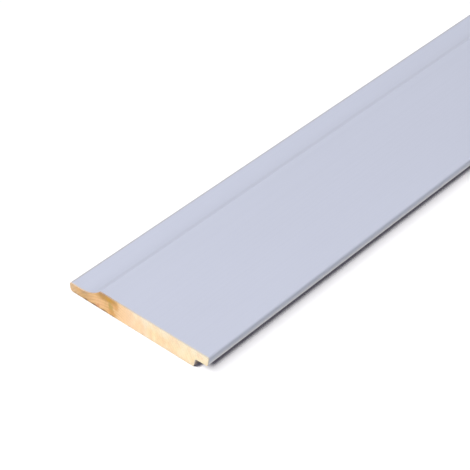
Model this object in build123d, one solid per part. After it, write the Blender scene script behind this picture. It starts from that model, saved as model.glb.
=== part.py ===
from build123d import *
from math import radians, tan
import os

# Siding board with a cove, planed from one length of softwood and lying on its back.
# X runs across the board from the thin upper edge (-X) to the lower edge (+X), Y runs
# along its length and Z is up from the back. The origin is at the middle of the back.
# All sizes are in millimetres, and angles are in degrees.

# Board
board_length = 2400.0
board_width = 120.0
board_thickness = 14.5

# Rebate in the back of the lower edge, which covers the lip of the next board down
rebate_height = 7.1
lap_width = 9.0
swelling_gap = 2.0
rebate_wall_splay = 17.0
rebate_corner_radius = 1.4

# Lip along the upper edge, and the cove that rises from it to the face
lap_clearance = 0.2
lip_width = 10.0
nose_back_radius = 2.5
nose_front_radius = 1.2
cove_width = 18.0
crest_radius = 2.0

# Lower edge, which leans back under a rounded arris so that rain drips off
lower_edge_splay = 12.0
arris_radius = 1.2
drip_radius = 1.4

# Sizes that follow from the ones above
upper_edge = -board_width / 2
lower_edge = board_width / 2
lip_thickness = rebate_height - lap_clearance
cove_start = upper_edge + lip_width
crest = cove_start + cove_width
rebate_wall = lower_edge - lap_width - swelling_gap


def lean(height, splay):
    """How far a side that is splayed by that angle leans over that height."""
    return height * tan(radians(splay))


def lip_and_cove():
    """The upper edge from the back to the face: the nose, the top of the lip and the cove."""
    nose = Line((upper_edge, 0), (upper_edge, lip_thickness))
    lip_top = Line(nose @ 1, (cove_start, lip_thickness))
    cove = TangentArc(lip_top @ 1, (crest, board_thickness), tangent=lip_top % 1)
    return nose @ 0, cove @ 1


def lower_edge_and_rebate():
    """The lower edge from the face to the back: the arris, the leaning edge and the rebate."""
    arris_centre = (lower_edge - arris_radius, board_thickness - arris_radius)
    arris = CenterArc(arris_centre, arris_radius, 90, -90 - lower_edge_splay)
    edge_lean = lean((arris @ 1).Y - rebate_height, lower_edge_splay)
    edge = Line(arris @ 1, ((arris @ 1).X - edge_lean, rebate_height))
    seat = Line(edge @ 1, (rebate_wall, rebate_height))
    wall = Line(seat @ 1, (rebate_wall - lean(rebate_height, rebate_wall_splay), 0))
    return arris @ 0, edge @ 1, wall @ 1


def board_section():
    """The section of the board, with its planed corners rounded."""
    with BuildSketch(Plane.XZ) as section:
        with BuildLine():
            nose_corner, crest_corner = lip_and_cove()
            arris_start, drip_corner, wall_foot = lower_edge_and_rebate()
            Line(crest_corner, arris_start)
            Line(wall_foot, nose_corner)
        make_face()
        corner_radii = (
            (nose_corner, nose_back_radius),
            ((upper_edge, lip_thickness), nose_front_radius),
            (crest_corner, crest_radius),
            (drip_corner, drip_radius),
            ((rebate_wall, rebate_height), rebate_corner_radius),
        )
        for corner, radius in corner_radii:
            fillet(section.vertices().sort_by_distance(corner)[0], radius)
    return section.sketch


def siding_board():
    """The whole board: its section carried along the length, and both ends sawn square."""
    return extrude(board_section(), board_length / 2, both=True)


os.makedirs("parts", exist_ok=True)
export_step(siding_board(), "parts/siding_board.step")
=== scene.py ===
import math
import bpy
import numpy as np
from mathutils import Matrix, Vector


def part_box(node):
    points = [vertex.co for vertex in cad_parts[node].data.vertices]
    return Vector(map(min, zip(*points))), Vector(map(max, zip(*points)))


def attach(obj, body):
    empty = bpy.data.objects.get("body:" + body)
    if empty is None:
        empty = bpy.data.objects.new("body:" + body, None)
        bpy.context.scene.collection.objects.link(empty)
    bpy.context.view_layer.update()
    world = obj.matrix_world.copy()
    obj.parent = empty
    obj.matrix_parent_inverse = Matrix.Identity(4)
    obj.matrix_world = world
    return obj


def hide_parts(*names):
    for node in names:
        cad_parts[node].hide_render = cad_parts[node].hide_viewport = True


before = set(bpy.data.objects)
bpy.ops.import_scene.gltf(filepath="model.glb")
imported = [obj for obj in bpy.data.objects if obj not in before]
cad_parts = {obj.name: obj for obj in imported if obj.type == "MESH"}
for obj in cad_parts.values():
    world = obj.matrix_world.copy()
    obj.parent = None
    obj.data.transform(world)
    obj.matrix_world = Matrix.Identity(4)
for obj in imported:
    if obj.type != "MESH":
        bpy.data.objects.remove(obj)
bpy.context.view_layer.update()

boardLow, boardHigh = (np.array(corner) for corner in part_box("siding_board"))
mm = 0.001

# Two kinds of value in the dictionaries below are read in the same way everywhere. An easing is the
# place where it starts and the place where it ends, and then how much there is at the one and at the
# other, if that isn't nothing and all of it. A noise is its scale, its detail and its roughness.


def displayColour(red, green, blue):
    # a colour given as a screen shows it, 0 to 255, turned into the linear values that shaders take
    return tuple(((c / 255 + 0.055) / 1.055) ** 2.4 for c in (red, green, blue)) + (1.0,)


# Shader helpers
def addNode(tree, kind, inputs=None, **settings):
    # one node with its settings; an input is a value, or the output socket that feeds it
    node = tree.nodes.new(kind)
    for name, value in settings.items():
        setattr(node, name, value)
    for key, value in (inputs or {}).items():
        if isinstance(value, bpy.types.NodeSocket):
            tree.links.new(value, node.inputs[key])
        else:
            node.inputs[key].default_value = value
    return node


def calc(tree, operation, *values):
    # one step of arithmetic on numbers
    return addNode(tree, "ShaderNodeMath", dict(enumerate(values)), operation=operation).outputs[0]


def calcVector(tree, operation, *values, output="Vector"):
    # and one on places or colours
    inputs = dict(enumerate(values))
    return addNode(tree, "ShaderNodeVectorMath", inputs, operation=operation).outputs[output]


def scaled(tree, colour, factor):
    inputs = {"Vector": colour, "Scale": factor}
    return addNode(tree, "ShaderNodeVectorMath", inputs, operation="SCALE").outputs["Vector"]


def axes(tree, vector):
    # the three numbers of a place: across the board, along it and upwards
    return tuple(addNode(tree, "ShaderNodeSeparateXYZ", {"Vector": vector}).outputs)


def smoothStep(tree, value, start, end, low=0.0, high=1.0):
    # value eased from low to high while it goes from start to end
    inputs = {"Value": value, "From Min": start, "From Max": end, "To Min": low, "To Max": high}
    return addNode(tree, "ShaderNodeMapRange", inputs, interpolation_type="SMOOTHSTEP").outputs["Result"]


def mixColour(tree, share, first, second):
    inputs = {"Factor": share, 6: first, 7: second}
    return addNode(tree, "ShaderNodeMix", inputs, data_type="RGBA").outputs[2]


def cover(tree, share, colour, shade):
    # that share of a colour covered by a shade, which is given as a screen shows it
    return mixColour(tree, share, colour, displayColour(*shade))


def stretched(tree, vector, scale, location=(0, 0, 0)):
    inputs = {"Vector": vector, "Scale": scale, "Location": location}
    return addNode(tree, "ShaderNodeMapping", inputs).outputs["Vector"]


def noise(tree, vector, scale, detail, roughness, output="Fac"):
    inputs = {"Vector": vector, "Scale": scale, "Detail": detail, "Roughness": roughness}
    return addNode(tree, "ShaderNodeTexNoise", inputs).outputs[output]


def reliefs(tree, layers):
    # the surface's direction with fine relief in it; each layer is a height, how far it rises and how
    # strongly it shows, and each one is laid on the one before
    normal = None
    for height, (distance, strength) in layers:
        inputs = {"Height": height, "Distance": distance, "Strength": strength}
        if normal is not None:
            inputs["Normal"] = normal
        normal = addNode(tree, "ShaderNodeBump", inputs).outputs["Normal"]
    return normal


def newMaterial(name):
    material = bpy.data.materials.new(name)
    material.use_nodes = True
    tree = material.node_tree
    tree.nodes.clear()
    return material, tree, addNode(tree, "ShaderNodeTexCoord").outputs["Object"]


def addSurface(tree, inputs):
    shader = addNode(tree, "ShaderNodeBsdfPrincipled", inputs)
    addNode(tree, "ShaderNodeOutputMaterial", {"Surface": shader.outputs[0]})


# The timber's growth rings, which the sawn ends, the paint and the back all show
ringPattern = {
    "pithX": -24 * mm,           # where the tree's centre would be, across the board
    "pithZ": -30 * mm,           # and below its back
    "ringWidth": 2.3 * mm,
    "wobble": 2.6 * mm,          # how far the rings stray from circles
    "wobbleNoise": (34, 3, 0.45),
    "wobbleStretch": (1, 0.05, 1),    # slowly along the board
    "darkens": (0.45, 0.93),     # the shares of a ring's width over which its summer wood darkens
    "ends": (0.95, 1.0, 1.0, 0.0),    # and those over which it ends
    "ringNoise": (3.7, 0, 0.5),  # how unlike the rings are
    "ringWeight": (0.3, 0.7, 0.45, 1.0),
}


def addRings(tree, position):
    # the distance from the pith, plus a slow wobble, is counted in rings: the fraction of that number
    # darkens to a sharp edge once a ring, and the whole of it makes some rings darker than others
    r = ringPattern
    across, upwards = axes(tree, stretched(tree, position, (1, 1, 1), (-r["pithX"], 0, -r["pithZ"])))[::2]
    squares = (calc(tree, "MULTIPLY", side, side) for side in (across, upwards))
    radius = calc(tree, "SQRT", calc(tree, "ADD", *squares))
    wobble = noise(tree, stretched(tree, position, r["wobbleStretch"]), *r["wobbleNoise"])
    turns = calc(tree, "DIVIDE", calc(tree, "MULTIPLY_ADD", wobble, r["wobble"], radius), r["ringWidth"])
    phase = calc(tree, "FRACT", turns)
    summer = (smoothStep(tree, phase, *r[easing]) for easing in ("darkens", "ends"))
    ringNumber = addNode(tree, "ShaderNodeCombineXYZ", {0: calc(tree, "FLOOR", turns)}).outputs[0]
    weight = smoothStep(tree, noise(tree, ringNumber, *r["ringNoise"]), *r["ringWeight"])
    return calc(tree, "MULTIPLY", calc(tree, "MULTIPLY", *summer), weight)


def acrossStops(tree, across, stops):
    # a colour ramp laid across the board's width; each stop is a place in millimetres and a colour
    low, high = boardLow[0], boardHigh[0]
    place = addNode(tree, "ShaderNodeMapRange", {"Value": across, "From Min": low, "From Max": high})
    ramp = addNode(tree, "ShaderNodeValToRGB", {"Fac": place.outputs["Result"]})
    elements = ramp.color_ramp.elements
    while len(elements) < len(stops):
        elements.new(0.5)
    for element, (where, shade) in zip(elements, stops):
        element.position = (where * mm - low) / (high - low)
        element.color = displayColour(*shade)
    return ramp.outputs["Color"]


# Bare sawn end. Its places are across the board from its middle, or up from its back
sawnEnd = {
    # clean wood across the board, each a place in millimetres and a colour
    "stops": ((-58, (224, 190, 150)), (-53, (222, 184, 138)), (-48, (213, 174, 123)),
              (-43, (222, 180, 130)), (-37, (238, 194, 142)), (-32, (237, 194, 141)),
              (-26, (232, 188, 132)), (-19, (239, 200, 149)), (-15, (250, 212, 166)),
              (-6, (253, 216, 176)), (0, (254, 222, 180)), (6, (254, 225, 188)),
              (14, (254, 229, 184)), (24, (254, 227, 186)), (36, (254, 234, 194)),
              (56, (254, 237, 200))),
    "summerWood": (190, 134, 78),
    "summerShare": (-22 * mm, -4 * mm, 0.36, 0.12),   # it shows more in the darker part near the lip
    # beyond the stains the wood is paler towards the face, darker towards the back with painted shade, and
    # pinker or paler in patches
    "beyondStains": (-12 * mm, 3 * mm),
    "cream": (254, 240, 214),
    "lowShade": (236, 206, 174),
    "peach": (250, 204, 160),
    "creamUp": (6 * mm, 14.5 * mm, 0.0, 0.55),
    "lowShadeUp": (3.6 * mm, 0.6 * mm, 0.0, 0.5),
    "patchNoise": (190, 3, 0.55),
    "patchStretch": (1, 1, 0.6),
    "peachPatch": (0.48, 0.66, 0.0, 0.38),
    "creamPatch": (0.5, 0.34, 0.0, 0.4),
    # resin and damp have darkened the wood under the crest of the cove. Each stain has its middle across
    # and up, its half width and half height in millimetres, its lean in degrees, a colour and a strength
    "stains": ((-33.0, 5.8, 4.5, 3.0, 20, (240, 192, 144), 0.55),
               (-18.5, 10.5, 3.4, 4.2, 10, (224, 168, 104), 0.8),
               (-26.5, 12.8, 10.5, 3.5, 4, (198, 152, 90), 1.0),
               (-29.5, 13.8, 3.6, 1.0, 0, (184, 142, 104), 0.7),
               (-23.5, 12.0, 2.8, 1.9, 0, (208, 158, 70), 0.8),
               (-22.6, 6.4, 2.0, 4.8, 4, (194, 160, 90), 0.85),
               (-22.5, 2.6, 3.6, 2.8, 0, (216, 162, 98), 0.75),
               (-35.5, 1.8, 2.6, 1.3, 30, (214, 146, 108), 0.7),
               (-51.5, 5.2, 3.0, 1.4, 20, (236, 186, 124), 0.6),
               (-46.5, 6.4, 4.5, 1.1, 12, (190, 156, 124), 0.6)),
    "stainEdge": (0.5, 1.3),     # a stain fades out from half its size to a little more than all of it
    "stainLength": 1e6,          # along the board, where it has no end
    "stray": 5 * mm,             # how far its edge strays
    "strayNoise": (230, 4, 0.65),
    # painted shade along the foot of the end, where it meets the floor, deepening and then fading across the
    # board
    "footShade": (130, 98, 74),
    "footShadeUp": (0.2 * mm, 1.6 * mm, 1.0, 0.0),
    "footShadeDeepens": (-62 * mm, -38 * mm, 0.2, 1.0),
    "footShadeFades": (-35 * mm, -14 * mm, 1.0, 0.07),
    "poreNoise": (4200, 2, 0.7),
    "fibreNoise": (900, 3, 0.6),
    "grainTone": (0.25, 0.75, 0.9, 1.08),   # how much the grain darkens and lightens the wood
    # the saw left faint upright lines
    "sawNoise": (900, 3, 0.6),
    "sawStretch": (1, 0, 0.09),
    "sawTone": (0.3, 0.7, 0.975, 1.025),
    # fine relief, how far it rises and how strongly it shows; the summer wood stands a little proud
    "sawRelief": (0.03 * mm, 0.35),
    "ringRelief": (0.06 * mm, 0.5),
    "grainRelief": (0.12 * mm, 0.6),
    "roughness": 0.78,
    "specular": 0.25,
}


def addStain(tree, position, colour, stain):
    # a soft spot: its middle is carried to the origin, its lean taken out and its size made 1, and the
    # distance from there, measured in the spot's own size, fades the stain out
    middleX, middleZ, halfWidth, halfHeight, lean, shade, strength = stain
    spot = addNode(tree, "ShaderNodeMapping", {
        "Vector": position, "Location": (middleX * mm, 0, middleZ * mm),
        "Rotation": (0, -math.radians(lean), 0),
        "Scale": (halfWidth * mm, sawnEnd["stainLength"], halfHeight * mm),
    }, vector_type="TEXTURE").outputs["Vector"]
    distance = calcVector(tree, "LENGTH", spot, output="Value")
    return cover(tree, smoothStep(tree, distance, *sawnEnd["stainEdge"], strength, 0.0), colour, shade)


def makeSawnEnd():
    # the clean wood's colour across the board, covered in turn by summer wood, a paler top, painted shade
    # low down, patches, stains and painted shade along its foot, and the whole multiplied by the tones of
    # the grain and of the saw's lines
    e = sawnEnd
    material, tree, position = newMaterial("sawn_end")
    across, upwards = axes(tree, position)[::2]
    late = addRings(tree, position)
    colour = acrossStops(tree, across, e["stops"])
    summer = calc(tree, "MULTIPLY", late, smoothStep(tree, across, *e["summerShare"]))
    colour = cover(tree, summer, colour, e["summerWood"])

    beyondStains = smoothStep(tree, across, *e["beyondStains"])
    patches = noise(tree, stretched(tree, position, e["patchStretch"]), *e["patchNoise"])
    # the darker band low down, towards the back, is painted shade
    for value, easing, shade in ((upwards, "creamUp", "cream"), (upwards, "lowShadeUp", "lowShade"),
                                 (patches, "peachPatch", "peach"), (patches, "creamPatch", "cream")):
        part = calc(tree, "MULTIPLY", smoothStep(tree, value, *e[easing]), beyondStains)
        colour = cover(tree, part, colour, e[shade])

    # the stains and the painted shade at the foot are read at a place that has strayed, so that their edges
    # are uneven
    cloud = noise(tree, position, *e["strayNoise"], output="Color")
    cloud = calcVector(tree, "SUBTRACT", cloud, (0.5, 0.5, 0.5))
    strayed = calcVector(tree, "MULTIPLY_ADD", cloud, (e["stray"],) * 3, position)
    for stain in e["stains"]:
        colour = addStain(tree, strayed, colour, stain)
    # painted shade: the end darker along its foot, where it meets the floor
    footShade = calc(tree, "MULTIPLY", smoothStep(tree, across, *e["footShadeDeepens"]),
                 smoothStep(tree, across, *e["footShadeFades"]))
    footShade = calc(tree, "MULTIPLY", smoothStep(tree, axes(tree, strayed)[2], *e["footShadeUp"]), footShade)
    colour = cover(tree, footShade, colour, e["footShade"])

    # the grain is half pores and half fibres
    pores = calc(tree, "MULTIPLY", noise(tree, position, *e["poreNoise"]), 0.5)
    grain = calc(tree, "MULTIPLY_ADD", noise(tree, position, *e["fibreNoise"]), 0.5, pores)
    saw = noise(tree, stretched(tree, position, e["sawStretch"]), *e["sawNoise"])
    tone = calc(tree, "MULTIPLY", smoothStep(tree, grain, *e["grainTone"]),
                smoothStep(tree, saw, *e["sawTone"]))
    layers = ((saw, e["sawRelief"]), (late, e["ringRelief"]), (grain, e["grainRelief"]))
    addSurface(tree, {"Base Color": scaled(tree, colour, tone), "Roughness": e["roughness"],
                      "Specular IOR Level": e["specular"], "Normal": reliefs(tree, layers)})
    return material


# Paint on the planed faces. Its places are across the board from its middle, or up from its back
paint = {
    "topCoat": (199, 203, 220),
    "thinCoat": (206, 207, 214),
    "bareWood": (232, 196, 148),
    "summerShare": 0.6,          # how much its rings show on bare wood
    "grainShare": (0.3, 0.7, 0.15, 0.75),   # how much wood shows through the thin coat, by its streaks
    "streakNoise": (620, 4, 0.6),
    "streakStretch": (1, 0.012, 1),
    "cloudNoise": (26, 3, 0.5),
    "cloudStretch": (1, 0.35, 1),
    "peelNoise": (1100, 2, 0.5),
    "arrisShade": (168, 164, 160),   # painted shade: the lip's upper arris greyer and darker, in patches
    "arrisShadeAcross": (-57.8 * mm, -59.6 * mm),
    "arrisShadeUp": (5 * mm, 5.9 * mm),
    "arrisShadeNoise": (160, 3, 0.6),
    "arrisShadePatch": (0.3, 0.6, 0.7, 1.0),
    "edgeHighlight": (246, 245, 246),   # painted highlight: the leaning edge paler low down towards the drip, where light from the floor falls on it
    "edgeHighlightAcross": (53 * mm, 56 * mm),
    "edgeHighlightUp": (12.6 * mm, 7.9 * mm, 0.0, 0.68),
    "rebateShade": (138, 118, 100),   # painted shade in the rebate's inner corner
    "rebateShadeFrom": (45.5 * mm, 46.5 * mm),
    "rebateShadeTo": (53 * mm, 50 * mm, 0.0, 0.7),
    "rebateShadeUp": (7.6 * mm, 7.2 * mm),
    "chipEdge": (0.25, 0.6),     # how deep a chip goes, of its whole depth, before it shows bare wood
    # where the saw has broken the coat away along the ends, across the board as on the sawn end
    "wornStops": ((-58, (226, 204, 184)), (-50, (222, 198, 176)), (-34, (200, 168, 142)),
                  (-28, (186, 154, 130)), (-20, (198, 166, 138)), (-14, (210, 190, 168)),
                  (0, (216, 202, 190)), (56, (218, 208, 194))),
    "wornWidth": 0.8 * mm,
    "wornEdge": (0.65, 0.35),    # shares of that width
    "wornNoise": (700, 3, 0.7),
    # what is added to the coat's brightness by its clouds and streaks, by the rings' summer wood under it,
    # and by painted shade in the cove just under its crest
    "cloudTone": 0.05,
    "streakTone": 0.035,
    "ringTone": -0.012,
    "crestShadeTone": -0.03,
    "crestShadeFrom": (-41 * mm, -37.5 * mm),
    "crestShadeTo": (-37 * mm, -33 * mm, 1.0, 0.0),
    "ringRelief": (0.02 * mm, 0.5),
    "streakRelief": (0.02 * mm, 0.6),
    "peelRelief": (0.02 * mm, 0.5),
    "roughness": (0.3, 0.7, 0.55, 0.65),    # by its clouds
}


def makePaint():
    # wood under a thin coat under the top coat, each as much as the one over it leaves, then covered in turn
    # by painted shade on the lip's arris, a painted highlight low on the leaning edge, painted shade in the
    # rebate and wear, each the product of its easings, and the whole multiplied by one tone
    p = paint
    material, tree, position = newMaterial("painted_timber")
    across, along, upwards = axes(tree, position)
    late = addRings(tree, position)
    coat = addNode(tree, "ShaderNodeAttribute", attribute_name="coat").outputs["Fac"]
    chip = addNode(tree, "ShaderNodeAttribute", attribute_name="chip").outputs["Fac"]
    streaks = noise(tree, stretched(tree, position, p["streakStretch"]), *p["streakNoise"])
    clouds = noise(tree, stretched(tree, position, p["cloudStretch"]), *p["cloudNoise"])
    peel = noise(tree, position, *p["peelNoise"])

    def eased(value, easing):
        return smoothStep(tree, value, *p[easing])

    def product(first, *others):
        for other in others:
            first = calc(tree, "MULTIPLY", first, other)
        return first

    through = product(calc(tree, "SUBTRACT", 1.0, coat), eased(streaks, "grainShare"))
    wood = cover(tree, product(late, p["summerShare"]), displayColour(*p["bareWood"]), sawnEnd["summerWood"])
    colour = cover(tree, coat, mixColour(tree, through, displayColour(*p["thinCoat"]), wood), p["topCoat"])
    # painted shade along the lip's upper arris
    arrisShade = product(eased(across, "arrisShadeAcross"), eased(upwards, "arrisShadeUp"),
                     eased(noise(tree, position, *p["arrisShadeNoise"]), "arrisShadePatch"))
    colour = cover(tree, arrisShade, colour, p["arrisShade"])
    # painted highlight on the lower part of the leaning edge
    highlit = product(eased(across, "edgeHighlightAcross"), eased(upwards, "edgeHighlightUp"))
    colour = cover(tree, highlit, colour, p["edgeHighlight"])
    # painted shade: the rebate's inner corner darker
    shadedRebate = product(eased(across, "rebateShadeFrom"), eased(across, "rebateShadeTo"), eased(upwards, "rebateShadeUp"))
    colour = cover(tree, shadedRebate, colour, p["rebateShade"])
    colour = mixColour(tree, eased(chip, "chipEdge"), colour, wood)

    # the worn strip: the distance from the board's middle, moved by noise, has come near its end
    strip = calc(tree, "MULTIPLY_ADD", noise(tree, position, *p["wornNoise"]), p["wornWidth"],
                 calc(tree, "ABSOLUTE", along))
    halfLength = (boardHigh[1] - boardLow[1]) / 2
    worn = smoothStep(tree, strip, *(halfLength - share * p["wornWidth"] for share in p["wornEdge"]))
    colour = mixColour(tree, worn, colour, acrossStops(tree, across, p["wornStops"]))

    # painted shade in the cove just under its crest
    crestShade = product(eased(across, "crestShadeFrom"), eased(across, "crestShadeTo"))
    tone = 1 - (p["cloudTone"] + p["streakTone"]) / 2
    for part, share in ((clouds, "cloudTone"), (streaks, "streakTone"), (late, "ringTone"),
                        (crestShade, "crestShadeTone")):
        tone = calc(tree, "MULTIPLY_ADD", part, p[share], tone)
    layers = ((late, p["ringRelief"]), (streaks, p["streakRelief"]), (peel, p["peelRelief"]))
    addSurface(tree, {"Base Color": scaled(tree, colour, tone), "Roughness": eased(clouds, "roughness"),
                      "Normal": reliefs(tree, layers)})
    return material


# The board: one closed surface, its section carried along the length
board = {
    "lipThickness": 6.9 * mm,
    "lipWidth": 10.0 * mm,
    "noseFront": 1.2 * mm,       # the radii of the lip's nose
    "noseBack": 2.5 * mm,
    "coveWidth": 18.0 * mm,
    "crestRadius": 2.0 * mm,
    "arrisRadius": 1.2 * mm,
    "edgeSplay": 12.0,           # degrees
    "dripRadius": 1.4 * mm,
    "seatHeight": 7.1 * mm,
    "seatWidth": 11.0 * mm,
    "wallSplay": 17.0,           # degrees
    "rebateCorner": 1.4 * mm,
    "inside": 0.004 * mm,        # keeps it inside the solid's box
    "cell": 0.35 * mm,           # the surface's step across the flats and the cove,
    "wallCell": 0.2 * mm,        # the rebate's steep wall
    "edgeCell": 0.15 * mm,       # and the leaning edge
    "rows": 24,                  # its steps between the back and the face, on an end
    # and its steps along the board, as distances from the nearer end in millimetres
    "steps": (0, 0.04, 0.09, 0.15, 0.23, 0.33, 0.46, 0.64, 0.9, 1.4, 2.5, 5, 12, 30, 80, 200, 500),
    # the top coat is sprayed on the face, and some of it drifts round to the under side
    "driftRoundNose": (1.5 * mm, 6 * mm),   # where it has thinned, and where it ends
    "driftRoundWall": 4 * mm,    # how far it reaches on the back from the rebate's wall
    "coatShares": (1, 0.75, 0, 0, 0.25, 0.45, 1),   # how full it is, from the nose to the drip
    "seed": 4,
    "waveGrowth": 0.4,           # how much higher longer waves are: the power of their length
    # each set of waves is its shortest and longest wave and how many it adds up
    "endRelief": 0.1 * mm,       # how rough the sawn ends are
    "reliefSpread": 0.22,
    "reliefWaves": (0.5 * mm, 5 * mm, 40),
    "reliefReach": 0.4 * mm,     # how far in from an end its relief fades
    "endArris": 0.14 * mm,       # how far the ends' edges are worn round
    "arrisSpread": 0.3,
    "arrisWaves": (1.5 * mm, 9 * mm, 24),
    "chipDepth": 0.4 * mm,
    "chipsFrom": 1.25,           # only the waves' highest peaks are chips
    "chipWaves": (1.1 * mm, 14 * mm, 30),
    "chipBare": 0.3,             # the share of the depth at which a chip has lost all its paint
    "sharpAngle": 35.0,          # degrees, above which an edge isn't shaded smooth
}


def waves(places, shortest, longest, count, seed):
    # smooth noise about 0: sine waves of random length, heading and phase, the longer ones a little
    # higher, added up at each place and divided by the square root of their mean square
    rng = np.random.default_rng(seed)
    length = np.exp(rng.uniform(np.log(shortest), np.log(longest), count))
    turn = rng.uniform(0, 2 * np.pi, count)
    heading = np.stack((np.cos(turn), np.sin(turn))) * 2 * np.pi / length
    height = (length / longest) ** board["waveGrowth"]
    total = np.sin(places @ heading + rng.uniform(0, 2 * np.pi, count)) @ height
    return total / np.sqrt((height ** 2).sum() / 2)


def sectionOutline():
    # the section as two heights over one row of places across the board, its under side and its upper
    # side. Both are flats, slopes and arcs; an arc is its centre's height plus or minus the square root
    # of its radius squared less the distance from its centre squared
    b = board
    left, right = boardLow[0] + b["inside"], boardHigh[0] - b["inside"]
    base, top = boardLow[2] + b["inside"], boardHigh[2] - b["inside"]
    lipTop, seat = base + b["lipThickness"], base + b["seatHeight"]
    lean, splay = (math.radians(b[name]) for name in ("wallSplay", "edgeSplay"))

    # the cove leaves the lip level, and the crest's arc touches both the cove and the face
    coveX, rise = left + b["lipWidth"], top - lipTop
    coveR = (b["coveWidth"] ** 2 + rise ** 2) / (2 * rise)
    crestZ, reach = top - b["crestRadius"], coveR + b["crestRadius"]
    crestX = coveX + math.sqrt(reach ** 2 - (lipTop + coveR - crestZ) ** 2)
    coveEnd = coveX + (crestX - coveX) * coveR / reach

    # the lower edge, from the face round the arris, down the leaning edge and round the drip
    arrisR, dripR = b["arrisRadius"], b["dripRadius"]
    arrisX, arrisZ = right - arrisR, top - arrisR
    edgeX, edgeZ = arrisX + arrisR * math.cos(splay), arrisZ - arrisR * math.sin(splay)
    dripX = edgeX - (edgeZ - seat) * math.tan(splay) - dripR / math.tan((math.pi / 2 + splay) / 2)
    dripZ, dripEnd = seat + dripR, dripX + dripR * math.cos(splay)

    # the rebate's wall and the arc in its inner corner
    innerR, wallTop = b["rebateCorner"], right - b["seatWidth"]
    wallFoot = wallTop - b["seatHeight"] * math.tan(lean)
    touch = innerR / math.tan((math.pi / 2 + lean) / 2)
    innerX, innerZ, innerStart = wallTop + touch, seat - innerR, wallTop - touch * math.sin(lean)

    # the nose's two arcs
    frontR, backR = b["noseFront"], b["noseBack"]
    frontX, backX = left + frontR, left + backR

    def around(centre, radius, start, end, count):
        # that many places spread evenly round an arc
        angles = np.arccos(np.clip((np.array((start, end)) - centre) / radius, -1, 1))
        return centre + radius * np.cos(np.linspace(*angles, count))

    def level(start, end, step=b["cell"]):
        # places one step apart
        return np.linspace(start, end, max(2, round((end - start) / step)))

    x = np.unique(np.round(np.concatenate((
        around(frontX, frontR, left, frontX, 9), around(backX, backR, left, backX, 12),
        level(backX, coveX), level(coveX, coveEnd),
        around(crestX, b["crestRadius"], coveEnd, crestX, 9), level(crestX, arrisX),
        around(arrisX, arrisR, arrisX, right, 14), around(arrisX, arrisR, edgeX, right, 4),
        level(wallFoot, innerStart, b["wallCell"]), around(innerX, innerR, innerStart, innerX, 7),
        around(dripX, dripR, dripX, dripEnd, 7), level(dripEnd, edgeX, b["edgeCell"]),
    )), 6))

    def arc(centreX, centreZ, radius, side):
        return centreZ + side * np.sqrt(np.maximum(radius ** 2 - (x - centreX) ** 2, 0))

    upper = np.select(
        (x < frontX, x < coveX, x < coveEnd, x < crestX, x < arrisX),
        (arc(frontX, lipTop - frontR, frontR, 1), np.full_like(x, lipTop),
         arc(coveX, lipTop + coveR, coveR, -1), arc(crestX, crestZ, b["crestRadius"], 1),
         np.full_like(x, top)),
        arc(arrisX, arrisZ, arrisR, 1))
    under = np.select(
        (x < backX, x < wallFoot, x < innerStart, x < innerX, x < dripX, x < dripEnd, x < edgeX),
        (arc(backX, base + backR, backR, -1), np.full_like(x, base),
         base + (x - wallFoot) / math.tan(lean), arc(innerX, innerZ, innerR, 1),
         np.full_like(x, seat), arc(dripX, dripZ, dripR, -1),
         edgeZ - (edgeX - x) / math.tan(splay)),
        arc(arrisX, arrisZ, arrisR, -1))
    drift = (left, *(left + distance for distance in b["driftRoundNose"]),
             wallFoot - b["driftRoundWall"], wallFoot, dripX, dripEnd)
    return x, under, upper, np.interp(x, drift, b["coatShares"])


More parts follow.
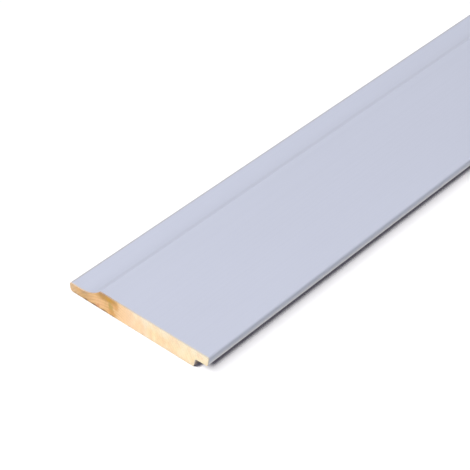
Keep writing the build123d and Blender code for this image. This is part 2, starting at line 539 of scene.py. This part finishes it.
def makeBoard(paintedTimber, sawnTimber):
    b = board
    x, under, upper, coatUnder = sectionOutline()
    last, rows = len(x) - 1, b["rows"]
    # the loop round the section: along the under side, back over the upper side and down the nose
    share = np.arange(rows - 1, 0, -1)[:, None] / rows
    nose = np.array((x[0], under[0])) + share * np.array((0, upper[0] - under[0]))
    loop = np.concatenate((np.stack((x, under), 1), np.stack((x, upper), 1)[-2::-1], nose))
    count = len(loop)
    along = np.roll(loop, -1, 0) - np.roll(loop, 1, 0)
    outward = np.stack((along[:, 1], -along[:, 0]), 1) / np.linalg.norm(along, axis=1, keepdims=True)

    # the loop is carried along the board in rings, given by their distance from the nearer end. Close to
    # the end it draws in round a quarter circle, whose radius is the worn arris plus a chip here and there
    steps = np.array(b["steps"]) * mm
    half = (boardHigh[1] - boardLow[1]) / 2 - b["inside"]
    middle = (boardHigh[1] + boardLow[1]) / 2

    def relief(places):
        # hollows that the saw tore, 0 to the whole relief, measured into the board
        rough = 0.5 + b["reliefSpread"] * waves(places, *b["reliefWaves"], b["seed"])
        return b["endRelief"] * np.clip(rough, 0, 1)

    rings, chips, endPoints = [], [], []
    for end in (-1, 1):
        # the near end and then the far one, with seeds of their own
        uneven = np.clip(waves(loop, *b["arrisWaves"], b["seed"] + 2 + end), -2, 2)
        wear = b["endArris"] * (1 + b["arrisSpread"] * uneven)
        peaks = waves(loop, *b["chipWaves"], b["seed"] + 6 + end) - b["chipsFrom"]
        nick = b["chipDepth"] * np.clip(peaks, 0, 1)
        gone = np.clip(1 - steps[:, None] / (wear + nick), 0, 1)
        drawn = loop - ((wear + nick) * (1 - np.sqrt(1 - gone ** 2)))[..., None] * outward
        depth = steps[:, None] + relief(drawn[0]) * np.exp(-steps[:, None] / b["reliefReach"])
        ring = np.stack((drawn[..., 0], middle + end * (half - depth), drawn[..., 1]), 2)
        chip = np.clip(nick / (b["chipBare"] * b["chipDepth"]), 0, 1) * gone
        # the sawn end spans from the under side to the upper side in rows
        low, high = drawn[0, 1:last], drawn[0, 2 * last - 1:last:-1]
        part = (np.arange(1, rows) / rows)[None, :, None]
        inner = low[:, None] * (1 - part) + high[:, None] * part
        y = middle + end * (half - relief(inner))
        endPoints.append(np.stack((inner[..., 0], y, inner[..., 1]), 2).reshape(-1, 3))
        rings.append(ring[::-end])
        chips.append(chip[::-end])
    rings, chips = np.concatenate(rings), np.concatenate(chips)
    ringCount = len(rings)
    points = np.concatenate((rings.reshape(-1, 3), *endPoints))

    # four-sided faces between the rings
    s, k = np.meshgrid(np.arange(ringCount - 1), np.arange(count), indexing="ij")
    corner, nextK = s * count, (k + 1) % count
    sides = (corner + k, corner + count + k, corner + count + nextK, corner + nextK)
    sides = np.stack(sides, -1).reshape(-1, 4)

    def endFaces(ringStart, innerStart, flip):
        # the end's grid of points: its rim is the ring's, and the last column is one point, the arris
        grid = np.empty((last + 1, rows + 1), int)
        grid[:, 0] = ringStart + np.arange(last + 1)
        grid[:, rows] = ringStart + 2 * last - np.arange(last + 1)
        grid[0, 1:rows] = ringStart + 2 * last + rows - np.arange(1, rows)
        grid[1:last, 1:rows] = innerStart + np.arange((last - 1) * (rows - 1)).reshape(last - 1, rows - 1)
        grid[last] = ringStart + last
        a, c = grid[:-1], grid[1:]
        cells = np.stack((a[:-1, :-1], c[:-1, :-1], c[:-1, 1:], a[:-1, 1:]), -1).reshape(-1, 4)
        fan = np.stack((a[-1, :-1], c[-1, :-1], a[-1, 1:]), -1)
        return (cells[:, ::-1], fan[:, ::-1]) if flip else (cells, fan)

    innerCount = len(endPoints[0])
    nearCells, nearFan = endFaces(0, ringCount * count, False)
    farCells, farFan = endFaces((ringCount - 1) * count, ringCount * count + innerCount, True)
    faces = [*sides.tolist(), *nearCells.tolist(), *nearFan.tolist(), *farCells.tolist(), *farFan.tolist()]

    mesh = bpy.data.meshes.new("siding_board_surface")
    mesh.from_pydata(points.tolist(), [], faces)
    mesh.materials.append(paintedTimber)
    mesh.materials.append(sawnTimber)
    slots = np.zeros(len(faces), int)
    slots[len(sides):] = 1
    mesh.polygons.foreach_set("material_index", slots)
    mesh.polygons.foreach_set("use_smooth", np.ones(len(faces), bool))
    coat = np.ones(count)
    coat[:last + 1] = coatUnder
    padding = np.zeros(2 * innerCount)
    for name, values in (("coat", np.tile(coat, ringCount)), ("chip", chips.reshape(-1))):
        attribute = mesh.attributes.new(name, "FLOAT", "POINT")
        attribute.data.foreach_set("value", np.concatenate((values, padding)))
    mesh.update()
    mesh.set_sharp_from_angle(angle=math.radians(b["sharpAngle"]))
    piece = bpy.data.objects.new("painted_siding_board", mesh)
    bpy.context.scene.collection.objects.link(piece)
    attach(piece, "root")
    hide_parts("siding_board")
    print("board:", len(points), "points,", sum(len(face) - 2 for face in faces), "triangles")


# Floor, light and camera
studio = {
    "floorSize": 9.0,
    "floorGap": 0.02 * mm,       # how far under the board it lies
    "floorBounce": (0.88, 0.88, 0.88),   # the white floor as light falls back from it
    # the same floor as the camera sees it: the part of it that takes the board's shadow, and the part
    # that stays white, a little bluer, as on a shop's white ground
    "floorShade": (0.59, 0.59, 0.59),
    "floorGlow": (0.5, 0.495, 0.515),
    "creviceShade": (0.066, 0.062, 0.08),
    "crevice": 12 * mm,          # how far a surface darkens the floor under it
    "openSky": (0.365, 0.485),   # the shares of open sky at which the floor is dark, and at which it isn't
    "skySamples": 16,
    # light from the front reaches under the lower edge at the near end, here measured from that end
    # and across the board
    "frontAlong": (11 * mm, 4 * mm),
    "frontFrom": (48.5 * mm, 51.5 * mm),
    "frontTo": (60.5 * mm, 58.5 * mm),
    # away from the near lamp the floor glows more, so that it stays white: metres from the near end
    "farGlow": (0.8, 2.6, 1.0, 1.5),
    "daylight": 0.05,            # soft white light from all round
    # wide soft lamps: strength, where each shines from, and its width in degrees
    "lamps": {"left_light": (0.845, (-0.28, -0.49, 0.86), 34.0),
              "right_light": (1.065, (0.24, -0.49, 0.86), 34.0),
              "far_light": (0.3, (0.15, 0.78, 0.62), 40.0)},
    # and one that stands nearer, so the light falls off along the board: power, where it stands from
    # the middle of the near sawn end, and its width in metres
    "nearLight": (23.0, (-0.04, -1.08, 1.9), 1.35),
}


def makeFloor():
    # the camera sees a diffuse floor and a glow added to it, both darker where little sky is open, and
    # all other light sees one plain white floor
    material, tree, position = newMaterial("white_floor")
    across, along = axes(tree, position)[:2]
    seen = addNode(tree, "ShaderNodeLightPath").outputs["Is Camera Ray"]
    openSky = addNode(tree, "ShaderNodeAmbientOcclusion", {"Distance": studio["crevice"]},
                      samples=studio["skySamples"]).outputs["AO"]
    front = smoothStep(tree, along, *(boardLow[1] + place for place in studio["frontAlong"]))
    for easing in ("frontFrom", "frontTo"):
        front = calc(tree, "MULTIPLY", front, smoothStep(tree, across, *studio[easing]))
    openSky = calc(tree, "MAXIMUM", smoothStep(tree, openSky, *studio["openSky"]), front)
    crevice, shaded, glowing, white = ((*studio[name], 1.0) for name in (
        "creviceShade", "floorShade", "floorGlow", "floorBounce"))
    shade = mixColour(tree, seen, white, mixColour(tree, openSky, crevice, shaded))
    diffuse = addNode(tree, "ShaderNodeBsdfDiffuse", {"Color": shade})
    away = calcVector(tree, "DISTANCE", position, (0, boardLow[1], 0), output="Value")
    strength = calc(tree, "MULTIPLY", seen, smoothStep(tree, away, *studio["farGlow"]))
    glow = mixColour(tree, openSky, crevice, glowing)
    glow = addNode(tree, "ShaderNodeEmission", {"Color": glow, "Strength": strength})
    both = addNode(tree, "ShaderNodeAddShader", {0: diffuse.outputs[0], 1: glow.outputs[0]})
    addNode(tree, "ShaderNodeOutputMaterial", {"Surface": both.outputs[0]})
    size, height = studio["floorSize"], boardLow[2] - studio["floorGap"]
    mesh = bpy.data.meshes.new("floor")
    corners = [(-size, -size, height), (size, -size, height), (size, size, height), (-size, size, height)]
    mesh.from_pydata(corners, [], [(0, 1, 2, 3)])
    mesh.materials.append(material)
    floor = bpy.data.objects.new("floor", mesh)
    bpy.context.scene.collection.objects.link(floor)


def addLamp(name, kind, shinesFrom, place=(0, 0, 0), **settings):
    # a lamp's own -Z shines, so its +Z points back along the way it shines from
    lamp = bpy.data.lights.new(name, kind)
    for setting, value in settings.items():
        setattr(lamp, setting, value)
    holder = bpy.data.objects.new(name, lamp)
    turn = Vector(shinesFrom).to_track_quat("Z", "Y").to_matrix().to_4x4()
    holder.matrix_world = Matrix.Translation(place) @ turn
    bpy.context.scene.collection.objects.link(holder)


def makeLight():
    # the camera, reflections and light through glass see a white room, and the board gets a little of it
    world = bpy.data.worlds.new("white_room")
    bpy.context.scene.world = world
    world.use_nodes = True
    tree = world.node_tree
    tree.nodes.clear()
    path = addNode(tree, "ShaderNodeLightPath").outputs
    seen = calc(tree, "MAXIMUM", path["Is Glossy Ray"], path["Is Transmission Ray"])
    seen = calc(tree, "MAXIMUM", path["Is Camera Ray"], seen)
    level = calc(tree, "MULTIPLY_ADD", seen, 1 - studio["daylight"], studio["daylight"])
    background = addNode(tree, "ShaderNodeBackground", {"Color": (1, 1, 1, 1), "Strength": level})
    addNode(tree, "ShaderNodeOutputWorld", {"Surface": background.outputs[0]})
    for name, (strength, shinesFrom, width) in studio["lamps"].items():
        addLamp(name, "SUN", shinesFrom, energy=strength, angle=math.radians(width))
    power, stand, width = studio["nearLight"]
    place = Vector(stand) + Vector((0, boardLow[1], 0))
    addLamp("near_light", "AREA", stand, place, energy=power, shape="DISK", size=width)


camera = {
    "focalPixels": 1568.0,       # for a picture 470 pixels wide
    "picturePixels": 470.0,
    "sensorWidth": 36.0,         # millimetres
    "place": (0.5363, -1.6748, 0.6403),
    "turn": 43.56,               # degrees to the left of the board's length
    "dip": 38.48,                # degrees below level
    "roll": -1.95,
    "farthest": 50.0,            # how far it sees
}


def makeCamera():
    # a camera that looks straight down is rolled about its line of sight, raised until it looks along
    # +Y that far below level, and turned to the left
    lens = bpy.data.cameras.new("camera")
    lens.sensor_width = camera["sensorWidth"]
    lens.lens = camera["focalPixels"] / camera["picturePixels"] * camera["sensorWidth"]
    lens.clip_end = camera["farthest"]
    view = bpy.data.objects.new("camera", lens)
    turn = Matrix.Rotation(math.radians(camera["turn"]), 4, "Z")
    dip = Matrix.Rotation(math.radians(90 - camera["dip"]), 4, "X")
    roll = Matrix.Rotation(math.radians(camera["roll"]), 4, "Z")
    view.matrix_world = Matrix.Translation(camera["place"]) @ turn @ dip @ roll
    bpy.context.scene.collection.objects.link(view)
    bpy.context.scene.camera = view


makeCamera()
makeLight()
makeFloor()
print("camera, light and floor ready")
paintedTimber, sawnTimber = makePaint(), makeSawnEnd()
print("painted and sawn timber ready")
makeBoard(paintedTimber, sawnTimber)
bpy.context.scene.view_settings.view_transform = "Standard"
